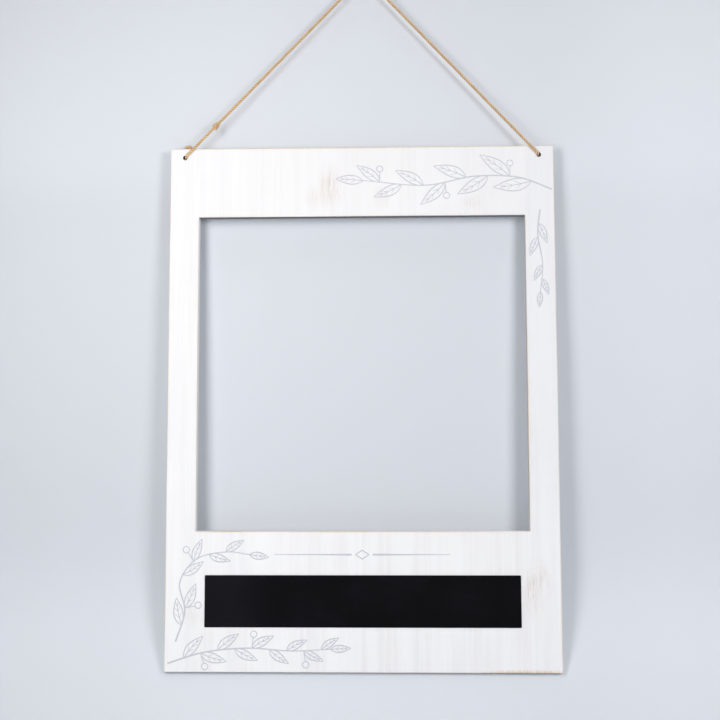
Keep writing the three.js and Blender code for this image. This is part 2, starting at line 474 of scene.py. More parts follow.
# How far a surface turns before it counts as an edge, as an upper edge and as an underside. Edges that face
# sideways are greyed partly by a thinner wash and partly as painted shade, upper edges keep the full wash,
# and undersides take painted shade
EDGE_TURN = (0.0, 0.5)
UPPER_TURN = (0.1, 0.9)
UNDERSIDE_TURN = (-0.9, -0.4)

# Roughness from the smooth parts to the rough ones, shine, and the depth and strength of the relief
WASH_ROUGHNESS = (0.62, 0.82)
WASH_SHINE = 0.3
WASH_RELIEF = (0.12 * MM, 0.35)
CHALK_ROUGHNESS = (0.72, 0.86)
CHALK_SHINE = 0.06
CHALK_RELIEF = (0.06 * MM, 0.25)
JUTE_ROUGHNESS = 0.88
JUTE_SHINE = 0.25
JUTE_SHEEN = 0.15
JUTE_RELIEF = (0.12 * MM, 0.6)
INK_ROUGHNESS = (0.55, 0.70)

# The cloth went over the panel at a slant, in radians, and the panel gets faintly lighter towards its left
# end
WIPE_SLANT = 1.25
LEFTWARD_LIGHTENING_REACH = (-0.09, -0.16)

# The grooves between the plies are painted darker, as painted shade: from where to where, and by what share
GROOVE_SHADE_REACH = (0.15, 0.8)
GROOVE_SHADE_SHARE = 0.66

# Where the wood's own stains show through: middle, half width, half height, strength
STAINS = [
    ((-0.041, -0.250), 0.013, 0.026, 0.55),
    ((-0.060, -0.262), 0.010, 0.014, 0.30),
    ((0.020, -0.262), 0.010, 0.012, 0.30),
    ((0.193, -0.709), 0.016, 0.030, 0.30),
    ((0.185, -0.717), 0.006, 0.026, 0.38),
    ((0.201, -0.700), 0.007, 0.013, 0.28),
    ((0.125, -0.268), 0.012, 0.010, 0.30),
    ((-0.196, -0.742), 0.010, 0.014, 0.25),
]

# Where an oval starts and ends its fading, in half widths and half heights from its middle
OVAL_FADE = (0.1, 1.4)


def ovals(tree, place, spots):
    """Soft ovals on the board's face, from their middles, half widths, half heights and strengths."""
    total = 0.0
    for (x, z), half_width, half_height, strength in spots:
        offset = vector_calc(tree, "SUBTRACT", place, (x, 0, z))
        shape = vector_calc(tree, "MULTIPLY", offset, (1 / half_width, 0, 1 / half_height))
        oval = ramp(tree, length_of(tree, shape), *OVAL_FADE, strength, 0.0)
        total = calc(tree, "ADD", total, oval)
    return total


def hole_shade_mask(tree, place):
    """1 inside the two twine holes, whose walls are painted very dark as painted shade."""
    total = 0.0
    for mouth in (LEFT_MOUTH, RIGHT_MOUTH):
        offset = vector_calc(tree, "SUBTRACT", place, tuple(mouth))
        flat = vector_calc(tree, "MULTIPLY", offset, (1, 0, 1))
        far = length_of(tree, flat)
        inside = ramp(tree, far, HOLE_RADIUS, HOLE_RADIUS + HOLE_EASING, 1.0, 0.0)
        total = calc(tree, "ADD", total, inside, clamp=True)
    return total


def wash_colour(tree, own_place, parts):
    """The wash where it is thick: cooler and darker to the right, partly as painted shade, paler towards the
    foot as painted light, and clouded.
    """
    # Painted shade: darker and cooler towards the right
    cool_and_shade = ramp(tree, parts["X"], 0.0, BOARD_RIGHT, 0.0, COOL_AND_SHADE_SHARE)
    past_line = WINDOW_RIGHT + GLUE_LINE_WIDTH
    stile_step = ramp(tree, parts["X"], WINDOW_RIGHT, past_line, 0.0, COOL_STILE_SHARE)
    wash = tinted(tree, calc(tree, "ADD", cool_and_shade, stile_step), WASH_COLOUR, COOL_WASH_AND_SHADE_COLOUR)
    # Painted light: paler towards the foot
    wash = tinted(tree, ramp(tree, parts["Z"], FOOT_LIGHT_FROM, FOOT_LIGHT_TO), wash, FOOT_LIGHT_WASH_COLOUR)
    for colour, drawn_out, scale, least, most, share in WASH_CLOUDS:
        upright = vector_calc(tree, "MULTIPLY", own_place, (1, 1, drawn_out))
        cloud = patches(tree, upright, scale, least, most)
        wash = tinted(tree, calc(tree, "MULTIPLY", cloud, share), wash, colour)
    return wash


def rubbed_off(tree, place, parts):
    """How far hands and the sander have rubbed the wash off the edges."""
    past_left = ramp(tree, parts["X"], WINDOW_LEFT, WINDOW_LEFT + WINDOW_RUB_FADE)
    short_of_right = ramp(tree, parts["X"], WINDOW_RIGHT - WINDOW_RUB_FADE, WINDOW_RIGHT, 1.0, 0.0)
    between = calc(tree, "MULTIPLY", past_left, short_of_right)
    by_window = calc(tree, "MULTIPLY", ovals(tree, place, WINDOW_RUBS), between)
    return calc(tree, "ADD", by_window, ovals(tree, place, RUBS))


def whitewashed_wood():
    material, tree, shader = new_material("whitewashed_wood")
    place = object_place(tree)
    parts = parts_of(tree, place)
    facing = parts_of(tree, put(tree, "ShaderNodeTexCoord").outputs["Normal"])
    stave = attribute(tree, "stave")
    shift = put(tree, "ShaderNodeCombineXYZ", Y=stave, Z=stave)
    own_place = vector_calc(tree, "ADD", place, shift.outputs[0])
    broad = streaks(tree, own_place, across=60, along=2.2)
    middle = streaks(tree, own_place, across=260, along=5)
    fine = streaks(tree, own_place, across=1100, along=14, detail=2.0)
    grain = weighted(tree, (middle, 0.55), (fine, 0.45))

    # The wash, thin along the grain and stained by the wood
    worn = patches(tree, own_place, scale=9.0, least=0.35, most=0.75)
    thin = calc(tree, "MULTIPLY", weighted(tree, (broad, 0.55), (worn, 0.22)), grain)
    colour = tinted(tree, thin, wash_colour(tree, own_place, parts), THIN_WASH_COLOUR)
    flecks = ramp(tree, streaks(tree, own_place, across=1000, along=70, detail=4.0), 0.35, 0.8)
    broken = weighted(tree, (grain, 0.45), (flecks, 0.75))
    stained = calc(tree, "MULTIPLY", ovals(tree, place, STAINS), broken, clamp=True)
    colour = tinted(tree, stained, colour, STAIN_COLOUR)

    # The edges: greyer than the face, partly a thinner wash and partly painted shade, except where they face
    # up, and bare wood where they are rubbed
    edge = ramp(tree, calc(tree, "ABSOLUTE", facing["Y"]), *EDGE_TURN, 1.0, 0.0)
    edge_wash_and_shade = tinted(tree, ramp(tree, facing["Z"], *UPPER_TURN), EDGE_WASH_AND_SHADE_COLOUR, WASH_COLOUR)
    colour = tinted(tree, edge, colour, edge_wash_and_shade)
    figure = streaks(tree, own_place, across=420, along=40)
    wood = tinted(tree, figure, BARE_WOOD_COLOUR, DARK_WOOD_COLOUR)
    rubbed = rubbed_off(tree, place, parts)
    worn_edge = calc(tree, "ADD", rubbed, RUBBED_EVERYWHERE)
    worn_edge = calc(tree, "MULTIPLY", attribute(tree, "sanded"), worn_edge)
    wispy = calc(tree, "MULTIPLY", rubbed, weighted(tree, (middle, 0.6), (1.0, 0.2)))
    colour = tinted(tree, calc(tree, "MAXIMUM", worn_edge, wispy, clamp=True), colour, wood)
    # Painted shade: faces that look down are painted dark
    underside_shade = ramp(tree, facing["Z"], *UNDERSIDE_TURN, 1.0, 0.0)
    colour = tinted(tree, underside_shade, colour, SHADED_EDGE_COLOUR)
    # Painted shade: the holes' walls are painted very dark
    colour = tinted(tree, hole_shade_mask(tree, place), colour, HOLE_SHADE_COLOUR)

    tree.links.new(colour, shader.inputs["Base Color"])
    tree.links.new(ramp(tree, grain, 0.0, 1.0, *WASH_ROUGHNESS), shader.inputs["Roughness"])
    shader.inputs["Specular IOR Level"].default_value = WASH_SHINE
    raise_surface(tree, shader, grain, *WASH_RELIEF)
    return material


def chalkboard():
    material, tree, shader = new_material("chalkboard")
    place = object_place(tree)
    axis = {"rotation_type": "Y_AXIS"}
    turn = put(tree, "ShaderNodeVectorRotate", axis, Vector=place, Angle=WIPE_SLANT)
    slanted = turn.outputs[0]
    wiped = streaks(tree, slanted, across=160, along=6)
    scratched = streaks(tree, slanted, across=2200, along=22, detail=1.0)
    haze = patches(tree, place, scale=22.0, least=0.35, most=0.75)
    dust = calc(tree, "MULTIPLY", haze, weighted(tree, (wiped, 0.7), (1.0, 0.3)))
    lighter_to_left = ramp(tree, parts_of(tree, place)["X"], *LEFTWARD_LIGHTENING_REACH)
    dust = weighted(tree, (dust, 0.6), (scratched, 0.2), (lighter_to_left, 0.7))
    colour = tinted(tree, dust, BLACK_COLOUR, CHALK_DUST_COLOUR)
    tree.links.new(colour, shader.inputs["Base Color"])
    tree.links.new(ramp(tree, scratched, 0.0, 1.0, *CHALK_ROUGHNESS), shader.inputs["Roughness"])
    shader.inputs["Specular IOR Level"].default_value = CHALK_SHINE
    tooth = put(tree, "ShaderNodeTexNoise", Vector=place, Scale=2600.0, Detail=2.0)
    raise_surface(tree, shader, tooth.outputs["Fac"], *CHALK_RELIEF)
    return material


def jute():
    material, tree, shader = new_material("jute_twine")
    laid = attribute(tree, "laid", "Vector")
    fibres = streaks(tree, laid, across=3200, along=130)
    tufts = streaks(tree, laid, across=900, along=45)
    slub = put(tree, "ShaderNodeTexNoise", Vector=laid, Scale=190.0, Detail=2.0)
    tone = weighted(tree, (fibres, 0.5), (tufts, 0.5))
    gold = tinted(tree, slub.outputs["Fac"], PALE_JUTE_COLOUR, GOLDEN_JUTE_COLOUR)
    colour = tinted(tree, tone, DEEP_JUTE_COLOUR, gold)
    uneven = patches(tree, object_place(tree), scale=85.0, least=0.42, most=0.68)
    colour = tinted(tree, calc(tree, "MULTIPLY", uneven, 0.85), colour, DEEP_JUTE_COLOUR)
    # Painted shade in the grooves between the plies
    groove_shade = ramp(tree, attribute(tree, "crown"), *GROOVE_SHADE_REACH, GROOVE_SHADE_SHARE, 0.0)
    colour = tinted(tree, groove_shade, colour, JUTE_GROOVE_SHADE_COLOUR)
    tree.links.new(colour, shader.inputs["Base Color"])
    shader.inputs["Roughness"].default_value = JUTE_ROUGHNESS
    shader.inputs["Specular IOR Level"].default_value = JUTE_SHINE
    shader.inputs["Sheen Weight"].default_value = JUTE_SHEEN
    raise_surface(tree, shader, fibres, *JUTE_RELIEF)
    return material


def print_ink():
    material, tree, shader = new_material("print_ink")
    place = object_place(tree)
    grain = streaks(tree, place, across=1100, along=14, detail=2.0)
    colour = tinted(tree, grain, INK_COLOUR, PALE_INK_COLOUR)
    tree.links.new(colour, shader.inputs["Base Color"])
    tree.links.new(ramp(tree, grain, 0.0, 1.0, *INK_ROUGHNESS), shader.inputs["Roughness"])
    return material


WASH = whitewashed_wood()
CHALK = chalkboard()
JUTE = jute()
INK = print_ink()


# Mesh building

def put_in_scene(name, data):
    made = bpy.data.objects.new(name, data)
    bpy.context.scene.collection.objects.link(made)
    return made


def new_piece(name, vertices, faces, material):
    """A mesh object with its faces turned outwards and smooth up to its sharp edges."""
    mesh = bpy.data.meshes.new(name)
    mesh.from_pydata([tuple(v) for v in vertices], [], faces)
    work = bmesh.new()
    work.from_mesh(mesh)
    bmesh.ops.recalc_face_normals(work, faces=work.faces)
    work.to_mesh(mesh)
    work.free()
    mesh.materials.append(material)
    mesh.shade_smooth()
    mesh.set_sharp_from_angle(angle=SHARP_ANGLE)
    return put_in_scene(name, mesh)


def skin(rings, sides, base=0):
    """The faces of a closed skin over rings of vertices that are numbered from a base on."""
    faces = []
    for i in range(rings - 1):
        for j in range(sides):
            low = base + i * sides + j
            next_low = base + i * sides + (j + 1) % sides
            faces.append((low, next_low, next_low + sides, low + sides))
    last = base + (rings - 1) * sides
    faces.append(tuple(range(base, base + sides)))
    faces.append(tuple(range(last, last + sides)))
    return faces


def loft(rings, base=0):
    """The vertices and faces of a closed skin over rings that have equal counts."""
    return [point for ring in rings for point in ring], skin(len(rings), len(rings[0]), base)


def mark_points(piece, name, values):
    """Keeps one number a vertex, for the material to read."""
    layers = piece.data.attributes
    layer = layers.get(name) or layers.new(name, "FLOAT", "POINT")
    layer.data.foreach_set("value", np.asarray(values, np.float32))


# Board

def smooth_step(value):
    value = min(1.0, max(0.0, value))
    return value * value * (3 - 2 * value)


def wander(along, edge, waves, apart, depth):
    """Smooth noise along one arris."""
    return noise.noise((along * waves, edge * apart, depth))


def sanding(along, edge, to_junction):
    """How the sander left one arris at a place along it: its radius, and how bare it is."""
    free = smooth_step(to_junction / JUNCTION_FADE)
    uneven = 1 + SAND_WANDER * free * wander(along, edge, *SAND_NOISE)
    radius = ARRIS_RADIUS * min(SAND_MOST, max(SAND_LEAST, uneven))
    bare = 1 + BARE_WANDER * wander(along, edge, *BARE_NOISE)
    return radius, bare


def arris(radius, bare):
    """From the face round to the edge: how far in from the edge, how far down, and how bare."""
    points = [(ARRIS_SUPPORT * radius, 0.0, 0.0)]
    for k in range(ARRIS_STEPS + 1):
        turn = math.pi / 2 * k / ARRIS_STEPS
        show = min(1.0, bare * (BARE_LEAST + (1 - BARE_LEAST) * math.sin(2 * turn)))
        points.append((radius * (1 - math.sin(turn)), radius * (1 - math.cos(turn)), show))
    points.append((0.0, ARRIS_SUPPORT * radius, 0.0))
    return points


def depth_at(inset, radius=ARRIS_RADIUS):
    """How far a plain round lies below the face, at a distance in from its edge."""
    reach = min(max(radius - inset, 0.0), radius)
    return radius - math.sqrt(radius ** 2 - reach ** 2)


def evenly(low, high):
    count = max(1, round((high - low) / STATION_STEP))
    return [low + (high - low) * i / count for i in range(count + 1)]


def split_marks(rings):
    """Parts rings of (x, y, z, bare) into points and marks."""
    points = [[p[:3] for p in ring] for ring in rings]
    marks = [p[3] for ring in rings for p in ring]
    return points, marks


def finish_stave(name, rings, tone):
    points, marks = split_marks(rings)
    vertices, faces = loft(points)
    piece = new_piece(f"{name}_wood", vertices, faces, WASH)
    mark_points(piece, "sanded", marks)
    mark_points(piece, "stave", [tone] * len(marks))
    return piece


def rail_stave(name, edge_seed, tone):
    """A stave between two glue lines, with its four long arrises sanded round."""
    low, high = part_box(name)
    rings = []
    for x in evenly(low.x, high.x):
        to_junction = min(x - WINDOW_LEFT, WINDOW_RIGHT - x)
        ring = []
        corners = [
            (FRONT_Y, 1, low.z, 1),
            (FRONT_Y, 1, high.z, -1),
            (BACK_Y, -1, high.z, -1),
            (BACK_Y, -1, low.z, 1),
        ]
        for corner, (face, inwards, edge, up) in enumerate(corners):
            points = arris(*sanding(x, edge_seed + corner, to_junction))
            if corner % 2 == 0:
                points.reverse()
            for inset, depth, bare in points:
                ring.append((x, face + inwards * depth, edge + up * inset, bare))
        rings.append(ring)
    return finish_stave(name, rings, tone)


def stile_heights():
    """Where a stile's sections lie: close together round its ends and the window's corners."""
    turns = [math.pi / 2 * k / ARRIS_STEPS for k in range(ARRIS_STEPS + 1)]
    rounds = [ARRIS_RADIUS * (1 - math.sin(turn)) for turn in turns]
    near = [ARRIS_SUPPORT * ARRIS_RADIUS, ARRIS_NEAR * ARRIS_RADIUS] + rounds
    heights = []
    for edge, way in ((BOARD_BOTTOM, 1), (BOARD_TOP, -1), (WINDOW_BOTTOM, -1), (WINDOW_TOP, 1)):
        heights += [edge + way * r for r in near]
    clear = ARRIS_CLEAR * ARRIS_SUPPORT * ARRIS_RADIUS
    edges = (BOARD_BOTTOM, WINDOW_BOTTOM, WINDOW_TOP, BOARD_TOP)
    for low, high in zip(edges, edges[1:]):
        heights += evenly(low + clear, high - clear)
    return sorted(set(round(z, 7) for z in heights))


def stile(name, outer, inner, edge_seed, tone):
    """A full-height stave: its outer arrises run the whole way, its inner ones only beside the window."""
    inwards = 1 if inner > outer else -1
    rings = []
    for z in stile_heights():
        to_end = min(z - BOARD_BOTTOM, BOARD_TOP - z)
        past_window = max(0.0, WINDOW_BOTTOM - z, z - WINDOW_TOP)
        to_corner = min(abs(z - WINDOW_BOTTOM), abs(z - WINDOW_TOP))
        end_depth = depth_at(to_end)
        end_bare = math.sin(math.pi * min(1.0, to_end / ARRIS_RADIUS))
        ring = []
        sides = [(FRONT_Y, 1, True), (FRONT_Y, 1, False), (BACK_Y, -1, False), (BACK_Y, -1, True)]
        for corner, (face, deeper, is_outer) in enumerate(sides):
            to_junction = to_end if is_outer else to_corner
            points = arris(*sanding(z, edge_seed + corner, to_junction))
            wall_point = points[-1]
            if corner % 2 == 0:
                points.reverse()
            for point in points:
                inset, depth, bare = point
                if not is_outer and past_window > 0 and point is not wall_point:
                    depth = min(depth, depth_at(past_window))
                    bare *= 1 - min(1.0, past_window / ARRIS_RADIUS)
                depth = max(depth, end_depth)
                if is_outer:
                    x = outer + inwards * (inset + depth_at(to_end, CORNER_RADIUS))
                else:
                    x = inner - inwards * inset
                ring.append((x, face + deeper * depth, z, max(bare, end_bare)))
        rings.append(ring)
    return finish_stave(name, rings, tone)


def drill_hole(piece, strand, tone):
    """Cuts the twine hole through a stile, eases its mouths and gives the new vertices its tone."""
    low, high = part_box(strand)
    centre = (low + high) / 2
    widest = HOLE_RADIUS + HOLE_EASING + HOLE_FLARE
    profile = [
        (FRONT_Y - HOLE_FLARE, widest),
        (FRONT_Y + HOLE_EASING, HOLE_RADIUS),
        (BACK_Y - HOLE_EASING, HOLE_RADIUS),
        (BACK_Y + HOLE_FLARE, widest),
    ]
    rings = []
    for y, r in profile:
        turns = [2 * math.pi * i / HOLE_SIDES for i in range(HOLE_SIDES)]
        rings.append([(centre.x + r * math.cos(t), y, centre.z + r * math.sin(t)) for t in turns])
    drill = new_piece("drill", *loft(rings), WASH)
    cut = piece.modifiers.new("hole", "BOOLEAN")
    cut.operation = "DIFFERENCE"
    cut.solver = "EXACT"
    cut.object = drill
    graph = bpy.context.evaluated_depsgraph_get()
    cut_mesh = bpy.data.meshes.new_from_object(piece.evaluated_get(graph))
    piece.modifiers.clear()
    piece.data = cut_mesh
    bpy.data.objects.remove(drill)
    cut_mesh.set_sharp_from_angle(angle=RIM_ANGLE)
    mark_points(piece, "stave", [tone] * len(cut_mesh.vertices))


def build_board():
    tones = random.Random(STAVE_SEED)
    staves = {}
    left_tone, right_tone = tones.random(), tones.random()
    staves["left_stile"] = stile("left_stile", BOARD_LEFT, WINDOW_LEFT, LEFT_ARRISES, left_tone)
    staves["right_stile"] = stile("right_stile", BOARD_RIGHT, WINDOW_RIGHT, RIGHT_ARRISES, right_tone)
    drill_hole(staves["left_stile"], "left_hole_strand", left_tone)
    drill_hole(staves["right_stile"], "right_hole_strand", right_tone)
    for name in TOP_STAVES:
        staves[name] = rail_stave(name, TOP_ARRISES, tones.random())
    for name in BOTTOM_STAVES:
        staves[name] = rail_stave(name, BOTTOM_ARRISES, tones.random())
    for name, piece in staves.items():
        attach(piece, "board")
        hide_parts(name)


# Writing panel

def round_cornered(low, high, corner, y):
    """A ring round an upright rectangle with its corners rounded."""
    ring = []
    centres = [
        (high.x - corner, high.z - corner, 0),
        (low.x + corner, high.z - corner, 1),
        (low.x + corner, low.z + corner, 2),
        (high.x - corner, low.z + corner, 3),
    ]
    for x, z, quarter in centres:
        for k in range(PANEL_STEPS + 1):
            turn = math.pi / 2 * (quarter + k / PANEL_STEPS)
            ring.append((x + corner * math.cos(turn), y, z + corner * math.sin(turn)))
    return ring


def build_panel():
    low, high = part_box("writing_panel")
    rings = []
    for k in range(PANEL_STEPS + 1):
        turn = math.pi / 2 * k / PANEL_STEPS
        inset = PANEL_EASING * (1 - math.sin(turn))
        y = low.y + PANEL_EASING * (1 - math.cos(turn))
        corner = PANEL_CORNER - inset
        margin = Vector((inset, 0, inset))
        rings.append(round_cornered(low + margin, high - margin, corner, y))
    rings.append(round_cornered(low, high, PANEL_CORNER, high.y))
    panel = new_piece("chalkboard_strip", *loft(rings), CHALK)
    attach(panel, "board")
    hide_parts("writing_panel")


# Twine

def run_along(line):
    """How far along a line each of its points lies."""
    return np.concatenate([[0], np.cumsum(np.linalg.norm(np.diff(line, axis=0), axis=1))])


def smooth_route(points, step=TWINE_STEP):
    """Even steps along a centripetal curve through the points."""
    p = np.array(points, float)
    p = np.vstack([2 * p[0] - p[1], p, 2 * p[-1] - p[-2]])
    dense = []
    for i in range(1, len(p) - 2):
        a, b, c, d = p[i - 1], p[i], p[i + 1], p[i + 2]
        t0 = 0.0
        t1 = t0 + math.sqrt(np.linalg.norm(b - a))
        t2 = t1 + math.sqrt(np.linalg.norm(c - b))
        t3 = t2 + math.sqrt(np.linalg.norm(d - c))
        for t in np.linspace(t1, t2, CURVE_POINTS, endpoint=False):
            ab = (t1 - t) / (t1 - t0) * a + (t - t0) / (t1 - t0) * b
            bc = (t2 - t) / (t2 - t1) * b + (t - t1) / (t2 - t1) * c
            cd = (t3 - t) / (t3 - t2) * c + (t - t2) / (t3 - t2) * d
            abc = (t2 - t) / (t2 - t0) * ab + (t - t0) / (t2 - t0) * bc
            bcd = (t3 - t) / (t3 - t1) * bc + (t - t1) / (t3 - t1) * cd
            dense.append((t2 - t) / (t2 - t1) * abc + (t - t1) / (t2 - t1) * bcd)
    dense.append(p[-2])
    dense = np.array(dense)
    along = run_along(dense)
    count = max(2, round(along[-1] / step))
    even = np.linspace(0, along[-1], count + 1)
    return np.stack([np.interp(even, along, dense[:, k]) for k in range(3)], axis=1)


def unit(rows):
    return rows / np.linalg.norm(rows, axis=-1, keepdims=True)


def carried_frames(line):
    """Tangents, and two cross directions that are carried along the line without twisting."""
    tangents = unit(np.gradient(line, axis=0))
    start = np.cross(tangents[0], (0, 0, 1.0))
    if np.linalg.norm(start) < NEARLY_UPRIGHT:
        start = np.cross(tangents[0], (0, 1.0, 0))
    first = [unit(start)]
    for tangent in tangents[1:]:
        carried = first[-1] - tangent * np.dot(first[-1], tangent)
        first.append(unit(carried))
    first = np.array(first)
    return tangents, first, np.cross(tangents, first)


class Strand:
    """Gathers the plies and hairs of one piece of twine into one mesh."""

    def __init__(self, groove_shade=1.0):
        self.groove_shade = groove_shade
        self.vertices = []
        self.faces = []
        self.laid = []
        self.crown = []

    def add_tube(self, line, radii, outward, sides, seed, groove_shaded=True):
        """A closed tube along a line. outward is the direction at which its rings start."""
        tangents = unit(np.gradient(line, axis=0))
        outward = unit(outward - tangents * np.sum(outward * tangents, axis=1, keepdims=True))
        across = np.cross(tangents, outward)
        along = run_along(line)
        self.faces += skin(len(line), sides, len(self.vertices))
        for i in range(len(line)):
            for j in range(sides):
                turn = 2 * math.pi * j / sides
                side = math.cos(turn) * outward[i] + math.sin(turn) * across[i]
                self.vertices.append(line[i] + radii[i] * side)
                # crown is 1 on a ply's outside and falls towards the grooves, where the material paints
                # shade
                self.crown.append(1 + self.groove_shade * (math.cos(turn) - 1) if groove_shaded else 1.0)
                twist = turn + 2 * math.pi * FIBRE_TURNS_PER_METRE * along[i]
                self.laid.append((
                    PLY_RADIUS * math.cos(twist) + seed,
                    PLY_RADIUS * math.sin(twist),
                    along[i] + seed,
                ))

    def add_plies(self, line, squeeze=None, seed=1):
        """Three plies laid round a centreline. squeeze narrows them along the way."""
        tangents, first, second = carried_frames(line)
        along = run_along(line)
        squeeze = np.ones(len(line)) if squeeze is None else squeeze
        for ply in range(PLY_COUNT):
            turn = 2 * math.pi * (ply / PLY_COUNT + along / TWINE_LAY)
            outward = np.cos(turn)[:, None] * first + np.sin(turn)[:, None] * second
            row = ply * SLUBS_APART + seed
            slub = np.array([noise.noise((s * SLUBS_PER_METRE, row, SLUB_DEPTH)) for s in along])
            radii = PLY_RADIUS * squeeze * (1 + SLUB_SWELL * slub)
            centre = line + outward * (PLY_ORBIT * squeeze * (1 + SLUB_SHIFT * slub))[:, None]
            self.add_tube(centre, radii, outward, PLY_SIDES, FIBRES_APART * ply + seed)

    def add_hair(self, start, lean, bend, length, seed):
        """One loose fibre that leaves the twine, bends and tapers."""
        share = np.linspace(0, 1, HAIR_POINTS)[:, None]
        line = start + lean * length * share + bend * length * share ** 2
        radii = HAIR_RADIUS * (1 - HAIR_TAPER * share[:, 0])
        outward = np.tile(np.cross(lean, bend + HAIR_TILT * lean[::-1]), (len(line), 1))
        self.add_tube(line, radii, outward, HAIR_SIDES, seed, groove_shaded=False)

    def add_fuzz(self, line, dice):
        """Loose fibres all along the twine."""
        tangents, first, second = carried_frames(line)
        step = np.linalg.norm(line[1] - line[0])
        for _ in range(round(HAIRS_PER_METRE * step * (len(line) - 1))):
            i = dice.randrange(2, len(line) - 2)
            turn = dice.uniform(0, 2 * math.pi)
            outward = math.cos(turn) * first[i] + math.sin(turn) * second[i]
            side = np.cross(tangents[i], outward)
            way = dice.choice((-1, 1)) * dice.uniform(*FUZZ_ALONG)
            slant = side * dice.uniform(*FUZZ_ASIDE)
            lean = unit(outward * dice.uniform(*FUZZ_OUT) + tangents[i] * way + slant)
            bend = tangents[i] * dice.uniform(*FUZZ_BEND) - outward * dice.uniform(*FUZZ_SAG)
            length = HAIR_REACH * dice.uniform(*FUZZ_REACH)
            self.add_hair(line[i] + outward * HAIR_ROOT, lean, bend, length, dice.random())

    def add_frayed_end(self, line, dice, count=FRAYED_FIBRES):
        """The opened fibres at a cut end."""
        end = line[-1]
        way = unit(end - line[-FRAY_STEPS])
        tangents, first, second = carried_frames(line)
        for _ in range(count):
            turn = dice.uniform(0, 2 * math.pi)
            outward = math.cos(turn) * first[-1] + math.sin(turn) * second[-1]
            lean = unit(way + outward * dice.uniform(*FRAY_SPREAD))
            bend = outward * dice.uniform(*FRAY_BEND)
            start = end + outward * PLY_RADIUS * dice.uniform(*FRAY_ROOT) - way * FRAY_OVERLAP
            self.add_hair(start, lean, bend, HAIR_REACH * dice.uniform(*FRAY_REACH), dice.random())

    def make(self, name):
        piece = new_piece(name, self.vertices, self.faces, JUTE)
        layer = piece.data.attributes.new("laid", "FLOAT_VECTOR", "POINT")
        layer.data.foreach_set("vector", np.asarray(self.laid, np.float32).ravel())
        mark_points(piece, "crown", self.crown)
        return piece


def in_metres(steps):
    return [MM * step for step in steps]


def in_plane(point):
    return np.array((point[0], 0.0, point[1]))


KNOT_CENTRE = in_plane(JOINING_KNOT_CENTRE)
UP_LEFT_LEG = unit(KNOT_CENTRE - LEFT_MOUTH)
UP_RIGHT_LEG = unit(in_plane(HANGER_ROUTE[-1]) - RIGHT_MOUTH)
BACKWARDS = np.array((0.0, 1.0, 0.0))
UPWARDS = np.array((0.0, 0.0, 1.0))


def hole_turn(mouth, up_leg):
    return [mouth + up_leg * up + BACKWARDS * back for up, back in HOLE_TURN]


def hanger_route():
    """The whole twine from inside the left hole, up and over the hook, to inside the right hole."""
    route = hole_turn(LEFT_MOUTH, UP_LEFT_LEG)
    route += [LEFT_MOUTH + UP_LEFT_LEG * step for step in LEFT_LEG_STEPS]
    route.append(KNOT_CENTRE)
    route += [in_plane(point) for point in HANGER_ROUTE]
    route += reversed(hole_turn(RIGHT_MOUTH, UP_RIGHT_LEG))
    return smooth_route(route)


# The joining knot: where its wraps begin and end along the leg, how the strand winds, and its tail and
# run-out as steps up the leg, right and forwards from the middle, in millimetres
JOINING_WRAP_FROM = -3.6 * MM
JOINING_WRAP_TO = 3.4 * MM
JOINING_WRAPS = 3.1
JOINING_POINTS = 34
JOINING_STEP = 0.35 * MM
JOINING_START_TURN = 0.08
JOINING_END_ORBIT = 1.15 * MM
JOINING_FULL_ORBIT = 2.5 * MM
JOINING_START_FULL = 0.5
JOINING_RISE = 0.3
JOINING_FALL_FROM = 0.45
JOINING_SQUEEZE = 0.74
JOINING_GROOVE_SHADE = 0.65
JOINING_FIBRES = 12
JOINING_PLY_SEED = 5
JOINING_FRAY_SEED = 31
JOINING_TAIL = [(-3.9, 2.7, 1.6), (-4.9, 4.3, 1.6)]
JOINING_RUN_OUT = [(4.5, -0.4, 0.8), (5.7, -0.1, 0.2)]


def build_joining_knot():
    """The short end hitched round the leg: a tail, some wraps, and the end drawn in under them."""
    right = np.array((UP_LEFT_LEG[2], 0.0, -UP_LEFT_LEG[0]))
    forward = -BACKWARDS

    def at(up, aside, out):
        return KNOT_CENTRE + UP_LEFT_LEG * up + right * aside + forward * out

    route = [at(*in_metres(steps)) for steps in reversed(JOINING_TAIL)]
    for i in range(JOINING_POINTS + 1):
        share = i / JOINING_POINTS
        turn = 2 * math.pi * (JOINING_START_TURN + JOINING_WRAPS * share)
        fall = smooth_step((share - JOINING_FALL_FROM) / (1 - JOINING_FALL_FROM))
        fullness = smooth_step(JOINING_START_FULL + share / JOINING_RISE) * (1 - fall)
        orbit = JOINING_END_ORBIT + (JOINING_FULL_ORBIT - JOINING_END_ORBIT) * fullness
        up = JOINING_WRAP_FROM + (JOINING_WRAP_TO - JOINING_WRAP_FROM) * share
        route.append(at(up, orbit * math.cos(turn), orbit * math.sin(turn)))
    route += [at(*in_metres(steps)) for steps in JOINING_RUN_OUT]
    line = smooth_route(route, JOINING_STEP)
    strand = Strand(groove_shade=JOINING_GROOVE_SHADE)
    strand.add_plies(line, np.full(len(line), JOINING_SQUEEZE), JOINING_PLY_SEED)
    strand.add_frayed_end(line[::-1], random.Random(JOINING_FRAY_SEED), JOINING_FIBRES)
    knot = strand.make("joining_knot_twine")
    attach(knot, "hanger")
    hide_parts("joining_knot")
    return knot


